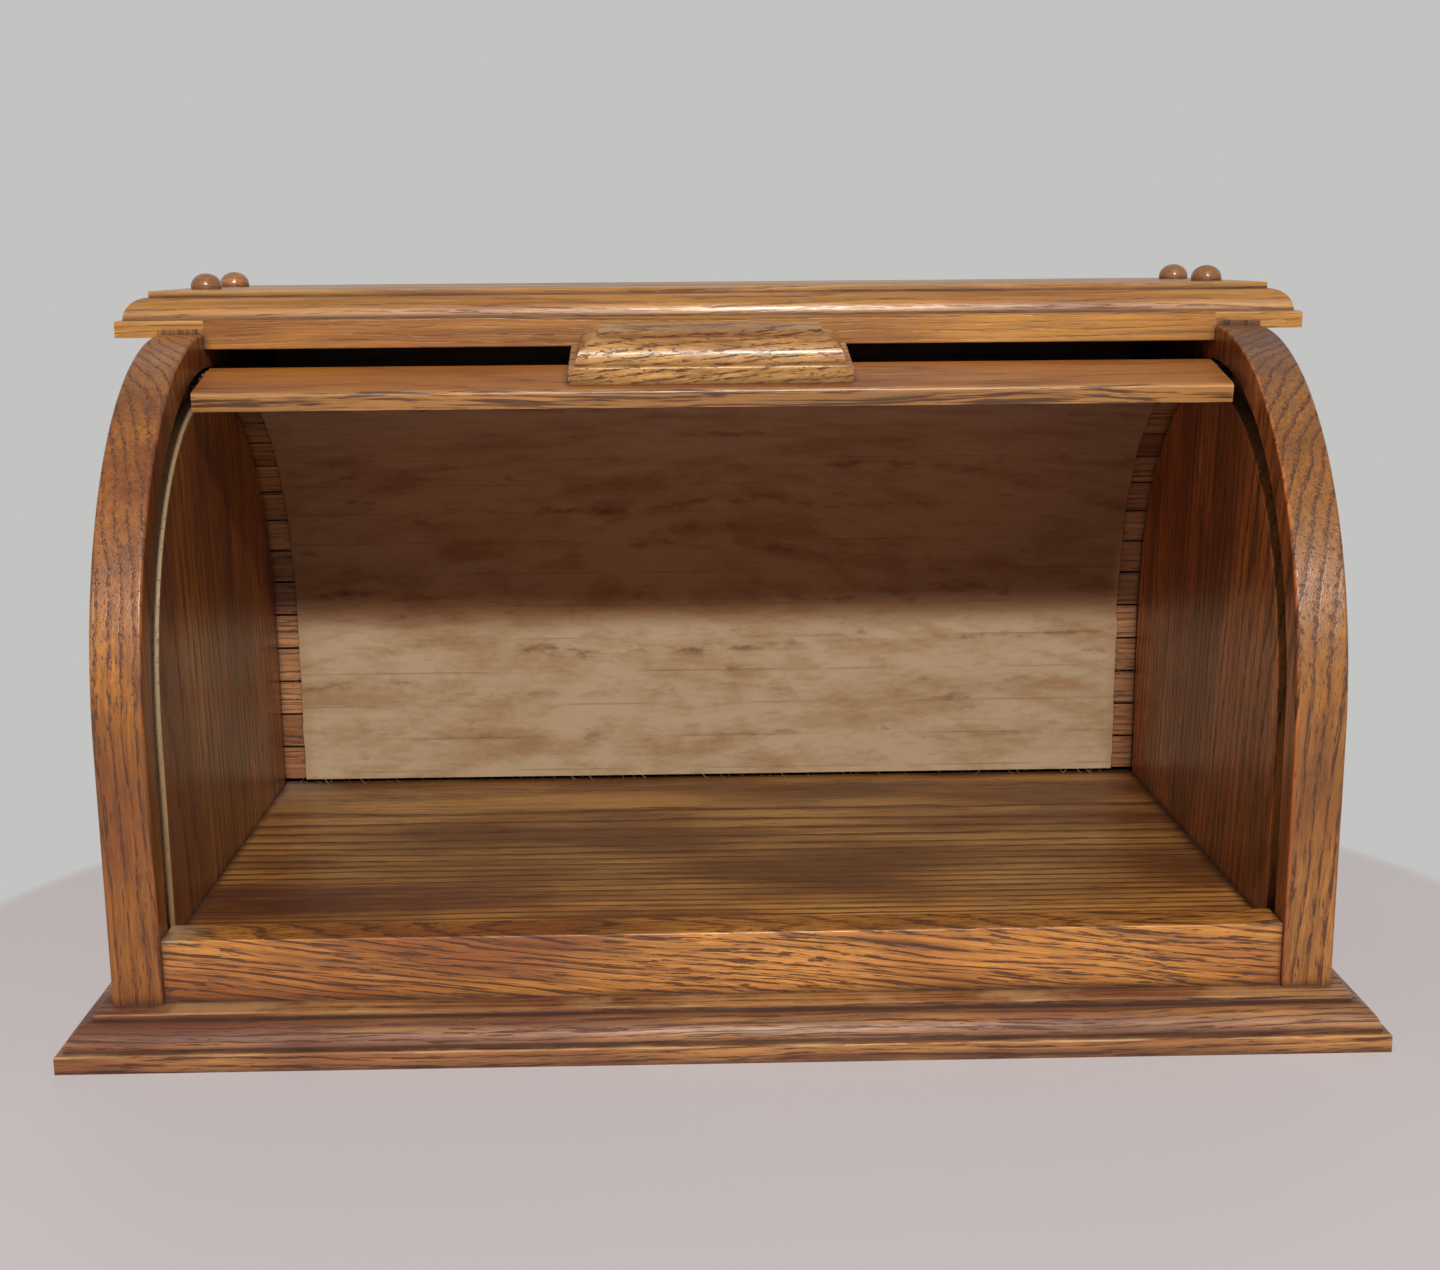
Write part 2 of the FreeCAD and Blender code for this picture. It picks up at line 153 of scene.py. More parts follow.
def oakMaterial(name, extra=None, **changes):
    look = {**oakLook, **changes}
    mat, tree, skin = startMaterial(name)
    where = place3(tree)
    if look["grain"] == "Z":
        turnNode = tree.nodes.new("ShaderNodeMapping")
        turnNode.inputs["Rotation"].default_value = (0, math.pi / 2, 0)
        feed(tree, turnNode.inputs["Vector"], where)
        along = turnNode.outputs[0]
    else:
        along = where
    shift = tree.nodes.new("ShaderNodeMapping")
    shift.inputs["Location"].default_value = [-p for p in look["pith"]]
    shift.inputs["Rotation"].default_value = [math.radians(t) for t in look["tilt"]]
    feed(tree, shift.inputs["Vector"], along)
    v = vecMaths(tree, "ADD", shift.outputs[0], (look["seed"], 0, 0))
    # slow wander of the rings along the board
    slow = noiseAt(tree, vecMaths(tree, "MULTIPLY", v, (5.5, 34.0, 34.0)), 1.0, 2.0, 0.5, True)
    push = vecMaths(tree, "MULTIPLY", vecMaths(tree, "SUBTRACT", slow, (0.5, 0.5, 0.5)), (0, look["wander"], look["wander"]))
    quick = noiseAt(tree, vecMaths(tree, "MULTIPLY", v, (22.0, 260.0, 260.0)), 1.0, 2.0, 0.6, True)
    jitter = vecMaths(tree, "MULTIPLY", vecMaths(tree, "SUBTRACT", quick, (0.5, 0.5, 0.5)), (0, 0.0016, 0.0016))
    bent = vecMaths(tree, "ADD", vecMaths(tree, "ADD", v, push), jitter)
    radius = vecMaths(tree, "LENGTH", vecMaths(tree, "MULTIPLY", bent, (0.0, 1.0, 1.0)), out=1)
    phase = maths(tree, "FRACT", maths(tree, "DIVIDE", radius, look["ring"]))
    early = maths(tree, "ADD", ramp(tree, phase, 0.0, 0.42, 1.0, 0.0), ramp(tree, phase, 0.88, 1.0))
    # pores: short dark dashes, thickest in the open spring wood
    dashes = noiseAt(tree, vecMaths(tree, "MULTIPLY", bent, (44.0, 1250.0, 1250.0)), 1.0, 3.0, 0.62)
    fine = noiseAt(tree, vecMaths(tree, "MULTIPLY", bent, (95.0, 1900.0, 1900.0)), 1.0, 1.0, 0.5)
    reach = maths(tree, "MULTIPLY_ADD", early, -0.120, look["dense"])
    pores = ramp(tree, dashes, reach, maths(tree, "ADD", reach, 0.05))
    fineMask = maths(tree, "MULTIPLY", ramp(tree, fine, 0.50, 0.66), maths(tree, "MULTIPLY_ADD", early, 0.45, 0.25))
    pores = maths(tree, "MAXIMUM", pores, fineMask)
    fibre = noiseAt(tree, vecMaths(tree, "MULTIPLY", bent, (14.0, 560.0, 560.0)), 1.0, 4.0, 0.68)
    cloud = noiseAt(tree, vecMaths(tree, "MULTIPLY", v, (7.0, 20.0, 20.0)), 1.0, 3.0, 0.55)
    streaks = noiseAt(tree, vecMaths(tree, "MULTIPLY", v, (3.2, 130.0, 130.0)), 1.0, 3.0, 0.6)
    tone = blendColour(tree, ramp(tree, cloud, *look["blotch"]), look["honey"], look["brown"])
    tone = blendColour(tree, maths(tree, "MULTIPLY", early, look["early"]), tone, look["brown"])
    tone = blendColour(tree, maths(tree, "MULTIPLY", ramp(tree, streaks, 0.56, 0.74), look["streak"]), tone, look["poreColour"])
    light = maths(tree, "MULTIPLY_ADD", maths(tree, "SUBTRACT", fibre, 0.5), look["fibre"] * 1.9, 1.0)
    tone = vecMaths(tree, "SCALE", tone)
    tree.nodes[-1].inputs["Scale"].default_value = 1.0
    feed(tree, tree.nodes[-1].inputs["Scale"], light)
    tone = blendColour(tree, maths(tree, "MULTIPLY", pores, look["pore"]), tone, look["poreColour"])
    if extra:
        tone = extra(tree, where, tone, bent)
    # painted shade with grime: corners and joints darkened where ambient occlusion is high; arrises rubbed pale
    corner = tree.nodes.new("ShaderNodeAmbientOcclusion")
    corner.samples = 8
    corner.inputs["Distance"].default_value = look["grimeReach"]
    patchy = noiseAt(tree, vecMaths(tree, "MULTIPLY", v, (40.0, 120.0, 120.0)), 1.0, 3.0, 0.6)
    cornerShadeAndGrime = maths(tree, "MULTIPLY", ramp(tree, corner.outputs["AO"], 0.90, 0.52), ramp(tree, patchy, 0.25, 0.60, 0.45, 1.0))
    tone = blendColour(tree, maths(tree, "MULTIPLY", cornerShadeAndGrime, look["grime"]), tone, look["grimeColour"])
    soft = tree.nodes.new("ShaderNodeBevel")
    soft.samples = 4
    soft.inputs["Radius"].default_value = 0.0014
    flat = tree.nodes.new("ShaderNodeNewGeometry").outputs["True Normal"]
    facing = vecMaths(tree, "DOT_PRODUCT", soft.outputs[0], flat, out=1)
    rub = maths(tree, "MULTIPLY", ramp(tree, facing, 0.985, 0.86), ramp(tree, corner.outputs["AO"], 0.55, 0.95))
    rub = maths(tree, "MULTIPLY", rub, ramp(tree, noiseAt(tree, vecMaths(tree, "MULTIPLY", v, (30.0, 90.0, 90.0)), 1.0, 4.0, 0.65), 0.42, 0.66))
    tone = blendColour(tree, maths(tree, "MULTIPLY", rub, look["wear"]), tone, look["wearColour"])
    feed(tree, skin.inputs["Base Color"], tone)
    gloss = maths(tree, "MULTIPLY_ADD", pores, 0.22, look["rough"])
    gloss = maths(tree, "ADD", gloss, maths(tree, "MULTIPLY", cornerShadeAndGrime, 0.25))
    gloss = maths(tree, "ADD", gloss, ramp(tree, cloud, 0.3, 0.7, -0.05, 0.06))
    feed(tree, skin.inputs["Roughness"], gloss)
    skin.inputs["Coat Weight"].default_value = look["coat"]
    skin.inputs["Coat Roughness"].default_value = 0.22
    height = maths(tree, "ADD", maths(tree, "MULTIPLY", pores, -0.8), maths(tree, "MULTIPLY", early, -0.25))
    height = maths(tree, "ADD", height, maths(tree, "MULTIPLY", fibre, 0.25))
    bump = tree.nodes.new("ShaderNodeBump")
    bump.inputs["Strength"].default_value = 0.55
    bump.inputs["Distance"].default_value = look["relief"]
    feed(tree, bump.inputs["Height"], height)
    feed(tree, skin.inputs["Normal"], bump.outputs[0])
    return mat


def paint(mat, *names):
    for name in names:
        piece = nodes[name]
        for index in range(max(1, len(piece.data.materials))):
            if index < len(piece.data.materials):
                piece.data.materials[index] = mat
            else:
                piece.data.materials.append(mat)


# the arch and the cloth's path, metres
arch = {"y": 0.0038, "z": 0.1125, "island": 0.115, "bend": 0.1187, "leadEdge": 85.2, "slatPitch": 0.016,
        "slats": 17, "roundSlats": 13, "leadWidth": 0.0385, "leadSlope": 11.5, "leadOffset": 0.0012,
        "insideX": 0.204}


def onArch(radius, degrees):
    a = math.radians(degrees)
    return arch["y"] - radius * math.cos(a), arch["z"] + radius * math.sin(a)


def bendLines():
    step = math.degrees(arch["slatPitch"] / arch["bend"])
    points = [onArch(arch["bend"], arch["leadEdge"] + step * k) for k in range(arch["roundSlats"] + 1)]
    drop = 2 * arch["bend"] * math.sin(math.radians(step / 2))
    y, z = points[-1]
    return points + [(y, z - drop * k) for k in range(1, arch["slats"] - arch["roundSlats"] + 1)]


# oak of the case
def mouldMarks(low, strength):
    def mark(tree, where, tone, bent):
        z = maths(tree, "MULTIPLY", maths(tree, "SUBTRACT", split(tree, where)[2], low), 1000.0)
        uneven = noiseAt(tree, vecMaths(tree, "MULTIPLY", where, (26.0, 26.0, 700.0)), 1.0, 4.0, 0.65)
        wide = noiseAt(tree, vecMaths(tree, "MULTIPLY", where, (9.0, 14.0, 260.0)), 1.0, 3.0, 0.6)
        hollow = maths(tree, "MULTIPLY", ramp(tree, z, 6.6, 8.0), ramp(tree, z, 16.9, 15.4))
        hollow = maths(tree, "MULTIPLY", hollow, ramp(tree, wide, 0.36, 0.60, 0.25, 1.0))
        tone = blendColour(tree, maths(tree, "MULTIPLY", hollow, 0.62 * strength), tone, (0.105, 0.034, 0.020))
        for place, reach in ((7.3, 0.9), (15.9, 0.8)):       # painted shade with dirt in the two steps' inner corners
            line = ramp(tree, maths(tree, "ABSOLUTE", maths(tree, "SUBTRACT", z, place)), reach, reach * 0.35)
            line = maths(tree, "MULTIPLY", line, ramp(tree, uneven, 0.30, 0.55, 0.35, 1.0))
            tone = blendColour(tree, maths(tree, "MULTIPLY", line, 0.85 * strength), tone, (0.050, 0.016, 0.008))
        for place, reach in ((6.35, 0.7), (17.75, 0.7)):      # rubbed arrises
            line = ramp(tree, maths(tree, "ABSOLUTE", maths(tree, "SUBTRACT", z, place)), reach, reach * 0.3)
            line = maths(tree, "MULTIPLY", line, ramp(tree, uneven, 0.44, 0.66))
            tone = blendColour(tree, maths(tree, "MULTIPLY", line, 0.75 * strength), tone, (0.62, 0.36, 0.15))
        return tone
    return mark


def leadEdge(tree, where, tone, bent):
    # open grain on the rail's front edge
    _, y, z = split(tree, where)
    slope = math.radians(arch["leadSlope"])
    top = onArch(arch["bend"] + arch["leadOffset"], arch["leadEdge"])
    u = maths(tree, "ADD", maths(tree, "MULTIPLY", maths(tree, "SUBTRACT", y, top[0]), math.cos(slope)),
              maths(tree, "MULTIPLY", maths(tree, "SUBTRACT", z, top[1]), math.sin(slope)))
    nose = ramp(tree, maths(tree, "ADD", u, arch["leadWidth"]), 0.0022, 0.0010)
    lines = noiseAt(tree, vecMaths(tree, "MULTIPLY", bent, (16.0, 750.0, 750.0)), 1.0, 3.0, 0.6)
    tone = blendColour(tree, maths(tree, "MULTIPLY", nose, 0.35), tone, (0.52, 0.30, 0.10))
    return blendColour(tree, maths(tree, "MULTIPLY", nose, ramp(tree, lines, 0.47, 0.58, 0.0, 0.9)), tone, (0.075, 0.026, 0.010))


def sideInside(tree, where, tone, bent):
    x, y, z = split(tree, where)
    inner = ramp(tree, maths(tree, "ABSOLUTE", x), 0.2052, 0.2046)
    rightHand = maths(tree, "GREATER_THAN", x, 0.0)
    # painted light and shade on the inner faces: the left one darkened, the right one brightened
    insideLightAndShade = blendColour(tree, rightHand, (0.78, 0.52, 0.44), (1.85, 1.06, 0.95))
    tone = blendColour(tree, maths(tree, "MULTIPLY", inner, 0.55), tone, blendColour(tree, 1.0, tone, insideLightAndShade, "MULTIPLY"))
    # bold upright grain inside
    lines = noiseAt(tree, vecMaths(tree, "MULTIPLY", bent, (3.0, 270.0, 270.0)), 1.0, 3.0, 0.62)
    tone = blendColour(tree, maths(tree, "MULTIPLY", inner, ramp(tree, lines, 0.52, 0.62, 0.0, 0.72)), tone, (0.060, 0.015, 0.005))
    # the right side darker towards the top, except on its inner face
    rightTopDarkening = maths(tree, "MULTIPLY", maths(tree, "MULTIPLY", rightHand, ramp(tree, z, 0.05, 0.18)), maths(tree, "SUBTRACT", 1.0, inner))
    tone = blendColour(tree, rightTopDarkening, tone, blendColour(tree, 1.0, tone, (0.70, 0.66, 0.60), "MULTIPLY"))
    above = maths(tree, "GREATER_THAN", z, arch["z"])
    dy = maths(tree, "SUBTRACT", y, arch["y"])
    dz = maths(tree, "MULTIPLY", maths(tree, "SUBTRACT", z, arch["z"]), above)
    reach = maths(tree, "SQRT", maths(tree, "ADD", maths(tree, "MULTIPLY", dy, dy), maths(tree, "MULTIPLY", dz, dz)))
    wall = maths(tree, "ABSOLUTE", maths(tree, "SUBTRACT", reach, arch["island"]))
    front = maths(tree, "LESS_THAN", y, arch["y"] + 0.03)
    rawEdge = maths(tree, "MULTIPLY", ramp(tree, wall, 0.0014, 0.0009), maths(tree, "MULTIPLY", ramp(tree, x, -0.2034, -0.2040), front))
    speck = noiseAt(tree, where, 900.0, 3.0, 0.7)
    raw = blendColour(tree, ramp(tree, speck, 0.52, 0.70), (0.34, 0.235, 0.125), (0.14, 0.066, 0.026))
    raw = blendColour(tree, ramp(tree, z, 0.13, 0.05, 0.0, 0.65), raw, (0.20, 0.095, 0.038))
    return blendColour(tree, rawEdge, tone, raw)


def dustyEnds(tree, where, tone, bent):
    x, y, z = split(tree, where)
    up = maths(tree, "MULTIPLY", ramp(tree, x, -0.185, -0.203), ramp(tree, z, 0.0405, 0.0415))
    return blendColour(tree, maths(tree, "MULTIPLY", up, 0.6), tone, (0.42, 0.30, 0.20))


# stains and dust on the floor panel, and painted light on its front
def floorStainAndLight(tree, where, tone, bent):
    x, y, z = split(tree, where)
    patch = noiseAt(tree, vecMaths(tree, "MULTIPLY", where, (14.0, 60.0, 60.0)), 1.0, 3.0, 0.6)
    near = maths(tree, "MULTIPLY", ramp(tree, x, -0.02, -0.12), ramp(tree, maths(tree, "ABSOLUTE", maths(tree, "ADD", y, 0.062)), 0.028, 0.012))
    dark = maths(tree, "MULTIPLY", near, ramp(tree, patch, 0.36, 0.58))
    tone = blendColour(tree, maths(tree, "MULTIPLY", dark, 0.85), tone, (0.080, 0.020, 0.011))
    # painted light: the floor's front brightened, fading out towards the left
    paintedFrontLight = maths(tree, "MULTIPLY", ramp(tree, y, -0.03, -0.10), ramp(tree, x, -0.20, -0.10))
    tone = blendColour(tree, paintedFrontLight, tone, blendColour(tree, 1.0, tone, (1.40, 1.32, 1.20), "MULTIPLY"))
    dust = maths(tree, "MULTIPLY", ramp(tree, x, -0.170, -0.203), ramp(tree, y, 0.060, 0.125))
    return blendColour(tree, maths(tree, "MULTIPLY", dust, 0.5), tone, (0.40, 0.31, 0.21))


baseOak = oakMaterial("baseOak", mouldMarks(0.0, 1.0), honey=(0.46, 0.205, 0.056), brown=(0.20, 0.060, 0.020), pith=(0, -0.19, -0.05),
                      ring=0.0030, early=0.6, streak=0.7, pore=0.9, dense=0.585, wear=0.65, blotch=(0.36, 0.62),
                      rough=0.50, coat=0.04, seed=1.3)
topOak = oakMaterial("topOak", mouldMarks(0.2507, 0.5), honey=(0.52, 0.235, 0.042), brown=(0.29, 0.100, 0.016), pith=(0, 0.02, 0.19),
                     ring=0.0026, streak=0.35, pore=0.6, dense=0.65, wear=0.5, blotch=(0.46, 0.72), seed=2.7)
topRailOak = oakMaterial("topRailOak", honey=(0.50, 0.222, 0.038), brown=(0.29, 0.100, 0.016), pith=(0, 0.14, 0.05),
                         ring=0.0022, streak=0.3, pore=0.5, dense=0.65, seed=3.9)
frontRailOak = oakMaterial("frontRailOak", dustyEnds, honey=(0.58, 0.240, 0.044), brown=(0.27, 0.080, 0.014),
                           pith=(0, -0.155, -0.095), tilt=(0, -6.0, 1.5), ring=0.0030, wander=0.016, early=0.55, pore=0.9,
                           dense=0.560, streak=0.4, fibre=1.1, seed=5.1)
leftOak = oakMaterial("leftOak", sideInside, grain="Z", honey=(0.43, 0.160, 0.022), brown=(0.20, 0.058, 0.009),
                      pith=(0.0, -0.12, 0.36), tilt=(0, 1.5, 3.0), ring=0.0046, early=0.60, pore=0.90, streak=0.35, seed=0.4)
rightOak = oakMaterial("rightOak", sideInside, grain="Z", honey=(0.40, 0.160, 0.030), brown=(0.19, 0.060, 0.012),
                       pith=(0.0, -0.13, -0.31), tilt=(0, -3.5, 5.0), ring=0.0052, early=0.62, pore=0.90, streak=0.35, seed=7.7)
floorOak = oakMaterial("floorOak", floorStainAndLight, honey=(0.42, 0.200, 0.048), brown=(0.13, 0.042, 0.009), pith=(0, 0.10, -0.16),
                       ring=0.0044, early=0.95, pore=0.90, wander=0.005, streak=0.6, seed=9.2)
leadOak = oakMaterial("leadOak", leadEdge, honey=(0.41, 0.140, 0.018), brown=(0.25, 0.072, 0.010), pith=(0, -0.05, 0.40),
                      ring=0.0024, streak=0.3, pore=0.5, dense=0.66, fibre=0.7, seed=4.4)
handleOak = oakMaterial("handleOak", honey=(0.60, 0.318, 0.092), brown=(0.32, 0.125, 0.026), pith=(-0.05, -0.03, 0.17),
                        tilt=(0, 5.0, 9.0), ring=0.0030, early=0.60, pore=0.85, dense=0.595, streak=0.3, wear=0.5, grime=0.6, seed=6.3)
slatOaks = [oakMaterial("slatOak%d" % k, honey=h, brown=b, pith=(0, p, 0.32), ring=0.0028, streak=0.35, wear=0.3, seed=8.0 + k)
            for k, (h, b, p) in enumerate((((0.43, 0.195, 0.078), (0.25, 0.09, 0.030), 0.02),
                                           ((0.38, 0.160, 0.062), (0.22, 0.08, 0.026), -0.05),
                                           ((0.45, 0.215, 0.090), (0.28, 0.11, 0.038), 0.09)))]
plugOak = oakMaterial("plugOak", honey=(0.44, 0.185, 0.050), brown=(0.30, 0.110, 0.028), ring=0.0016, pore=0.5, fibre=0.5,
                      rough=0.24, coat=0.5, wear=0.0, grime=0.6, seed=10.1)
plainOak = oakMaterial("plainOak", honey=(0.62, 0.44, 0.25), brown=(0.48, 0.30, 0.15), coat=0.0, rough=0.55, grime=0.3, seed=11.2)
plyWood = oakMaterial("plyWood", honey=(0.56, 0.37, 0.19), brown=(0.45, 0.26, 0.12), pith=(0, 0.16, -0.32), ring=0.009,
                      wander=0.03, early=0.4, pore=0.25, dense=0.67, fibre=0.4, streak=0.15, coat=0.05, rough=0.5, grime=0.4, seed=12.6)


def steelMaterial(name, dark, light, rough):
    mat, tree, skin = startMaterial(name)
    where = place3(tree)
    grain = noiseAt(tree, where, 900.0, 3.0, 0.6)
    feed(tree, skin.inputs["Base Color"], blendColour(tree, ramp(tree, grain, 0.35, 0.65), dark, light))
    skin.inputs["Metallic"].default_value = 1.0
    feed(tree, skin.inputs["Roughness"], ramp(tree, grain, 0.3, 0.7, rough - 0.08, rough + 0.1))
    return mat


paint(baseOak, "base_board")
paint(topOak, "top_board")
paint(topRailOak, "top_rail")
paint(frontRailOak, "front_rail")
paint(leftOak, "left_side")
paint(rightOak, "right_side")
paint(floorOak, "floor_panel")
paint(leadOak, "lead_rail")
paint(handleOak, "handle")
paint(plugOak, "button_plugs")
paint(plainOak, "floor_cleats")
paint(plyWood, "back_panel")
paint(steelMaterial("zincedSteel", (0.46, 0.45, 0.42), (0.62, 0.61, 0.58), 0.38),
      "back_panel_pins", "top_screws", "base_screws", "handle_screws")
paint(steelMaterial("blackedSteel", (0.030, 0.022, 0.018), (0.060, 0.045, 0.036), 0.50), "guide_pegs")
for number in range(1, arch["slats"] + 1):
    paint(slatOaks[(number * 5 + number // 3) % 3], "slat_%02d" % number)
print("oak finished")

# the canvas backing
canvasLook = {"halfWidth": 0.1945, "thick": 0.0007, "acrossStep": 0.004, "alongStep": 0.002, "edgeWander": 0.0007,
              "cream": (0.50, 0.367, 0.230), "tan": (0.34, 0.195, 0.092), "stain": (0.14, 0.062, 0.025)}


def clothPath():
    lines = bendLines()
    lead, slope = arch["leadWidth"], math.radians(arch["leadSlope"])
    hinge = onArch(arch["bend"] + arch["leadOffset"], arch["leadEdge"])
    start = (hinge[0] - math.cos(slope) * (lead - 0.003), hinge[1] - math.sin(slope) * (lead - 0.003))
    return [start] + lines


def canvasMaterial():
    mat, tree, skin = startMaterial("oldCanvas")
    look = canvasLook
    uv = tree.nodes.new("ShaderNodeUVMap")
    uv.uv_map = "cloth"
    flat = uv.outputs[0]
    u, v, _ = split(tree, flat)
    wide = noiseAt(tree, vecMaths(tree, "MULTIPLY", flat, (13.0, 42.0, 0.0)), 1.0, 6.0, 0.70)
    small = noiseAt(tree, vecMaths(tree, "MULTIPLY", flat, (55.0, 170.0, 0.0)), 1.0, 5.0, 0.68)
    tone = blendColour(tree, ramp(tree, wide, 0.42, 0.70), look["cream"], look["tan"])
    tone = blendColour(tree, maths(tree, "MULTIPLY", ramp(tree, small, 0.48, 0.72), 0.60), tone, look["tan"])
    # tide lines left by damp, wandering across the cloth
    sway = noiseAt(tree, vecMaths(tree, "MULTIPLY", flat, (7.0, 9.0, 0.0)), 1.0, 7.0, 0.66)
    tide = maths(tree, "MULTIPLY_ADD", sway, 0.050, v)
    band = maths(tree, "ABSOLUTE", maths(tree, "SUBTRACT", maths(tree, "FRACT", maths(tree, "MULTIPLY", tide, 43.0)), 0.5))
    broken = ramp(tree, noiseAt(tree, vecMaths(tree, "MULTIPLY", flat, (9.0, 38.0, 0.0)), 1.0, 4.0, 0.62), 0.42, 0.66)
    halo = maths(tree, "MULTIPLY", ramp(tree, band, 0.38, 0.0), maths(tree, "MULTIPLY", broken, ramp(tree, small, 0.35, 0.6)))
    tone = blendColour(tree, maths(tree, "MULTIPLY", halo, 0.55), tone, look["tan"])
    line = maths(tree, "MULTIPLY", ramp(tree, band, 0.13, 0.0), maths(tree, "MULTIPLY", broken, ramp(tree, small, 0.40, 0.62)))
    tone = blendColour(tree, maths(tree, "MULTIPLY", line, 0.70), tone, look["stain"])
    spots = ramp(tree, noiseAt(tree, vecMaths(tree, "MULTIPLY", flat, (40.0, 85.0, 0.0)), 1.0, 3.0, 0.6), 0.62, 0.76)
    tone = blendColour(tree, maths(tree, "MULTIPLY", spots, 0.55), tone, look["stain"])
    # painted shadow: the cloth above the edge of the lead rail's and top's cast shadow is darkened and reddened
    paintedShadowLine = maths(tree, "MULTIPLY_ADD", maths(tree, "SUBTRACT", small, 0.5), 0.016, v)
    tone = blendColour(tree, ramp(tree, paintedShadowLine, 0.2355, 0.2245), tone, blendColour(tree, 1.0, tone, (0.80, 0.56, 0.44), "MULTIPLY"))
    # a faint line at every gap between slats
    gap = maths(tree, "ABSOLUTE", maths(tree, "SUBTRACT", maths(tree, "FRACT", maths(tree, "DIVIDE", v, arch["slatPitch"])), 0.5))
    gapLine = maths(tree, "MULTIPLY", ramp(tree, gap, 0.455, 0.5), ramp(tree, noiseAt(tree, vecMaths(tree, "MULTIPLY", flat, (16.0, 60.0, 0.0)), 1.0, 2.0, 0.6), 0.40, 0.62))
    tone = blendColour(tree, maths(tree, "MULTIPLY", gapLine, 0.38), tone, look["stain"])
    edge = ramp(tree, maths(tree, "ABSOLUTE", u), 0.188, 0.1945)
    tone = blendColour(tree, maths(tree, "MULTIPLY", edge, 0.35), tone, look["tan"])
    # plain weave
    warp = maths(tree, "SINE", maths(tree, "MULTIPLY", u, 6283.0 / 0.62))
    weft = maths(tree, "SINE", maths(tree, "MULTIPLY", v, 6283.0 / 0.70))
    weave = maths(tree, "MULTIPLY", warp, weft)
    tone = blendColour(tree, maths(tree, "MULTIPLY_ADD", weave, 0.06, 0.06), tone, look["stain"])
    feed(tree, skin.inputs["Base Color"], tone)
    skin.inputs["Roughness"].default_value = 0.9
    skin.inputs["Sheen Weight"].default_value = 0.15
    skin.inputs["Specular IOR Level"].default_value = 0.25
    bump = tree.nodes.new("ShaderNodeBump")
    bump.inputs["Strength"].default_value = 0.5
    bump.inputs["Distance"].default_value = 0.0004
    feed(tree, bump.inputs["Height"], maths(tree, "ADD", maths(tree, "MULTIPLY", weave, 0.35), small))
    feed(tree, skin.inputs["Normal"], bump.outputs[0])
    return mat


canvasSkin = canvasMaterial()


def walk(path, s):
    for index, ((y0, z0), (y1, z1)) in enumerate(zip(path, path[1:])):
        length = math.hypot(y1 - y0, z1 - z0)
        if s <= length or index == len(path) - 2:
            k = s / length
            return y0 + (y1 - y0) * k, z0 + (z1 - z0) * k, (y1 - y0) / length, (z1 - z0) / length
        s -= length


def clothPiece(name, path, s0, s1):
    look = canvasLook
    rows = max(2, round((s1 - s0) / look["alongStep"]))
    half = round(look["halfWidth"] / look["acrossStep"])
    mesh = bpy.data.meshes.new(name)
    bm = bmesh.new()
    uvLayer = bm.loops.layers.uv.new("cloth")
    faces, flats = [], {}
    for side in (0, 1):
        grid = []
        for i in range(rows + 1):
            s = s0 + (s1 - s0) * i / rows
            near = [walk(path, s + d) for d in (-0.006, -0.003, 0.0, 0.003, 0.006)]
            y, z, ty, tz = [sum(n[k] for n in near) / 5 for k in range(4)]
            size = math.hypot(ty, tz)
            ny, nz = tz / size, -ty / size      # away from the slats
            line = []
            for j in range(-half, half + 1):
                u = look["halfWidth"] * j / half
                if abs(j) == half:
                    u += look["edgeWander"] * (noise.noise((s * 90, j, 3.0)) + 0.5 * noise.noise((s * 400, j, 7.0)))
                swell = 0.00018 * noise.noise((u * 22, s * 60, 1.7)) + 0.00010
                lift = side * (look["thick"] + swell) + 0.00006
                vert = bm.verts.new((u, y + ny * lift, z + nz * lift))
                flats[vert] = (u, s)
                line.append(vert)
            grid.append(line)
        faces.append(grid)
    back, face = faces
    def quad(*corners):
        made = bm.faces.new(corners)
        made.smooth = True
        for loop in made.loops:
            loop[uvLayer].uv = flats[loop.vert]
    last = 2 * half
    for i in range(rows):
        for j in range(last):
            quad(face[i][j], face[i][j + 1], face[i + 1][j + 1], face[i + 1][j])
            quad(back[i][j + 1], back[i][j], back[i + 1][j], back[i + 1][j + 1])
        quad(back[i][0], face[i][0], face[i + 1][0], back[i + 1][0])
        quad(face[i][last], back[i][last], back[i + 1][last], face[i + 1][last])
    for j in range(last):
        quad(back[0][j], back[0][j + 1], face[0][j + 1], face[0][j])
        quad(face[rows][j], face[rows][j + 1], back[rows][j + 1], back[rows][j])
    bmesh.ops.recalc_face_normals(bm, faces=bm.faces[:])
    for edge in bm.edges:
        if edge.calc_face_angle(0.0) > 0.8:
            edge.smooth = False
    bm.to_mesh(mesh)
    bm.free()
    mesh.materials.append(canvasSkin)
    piece = bpy.data.objects.new(name, mesh)
    scene.collection.objects.link(piece)
    return piece


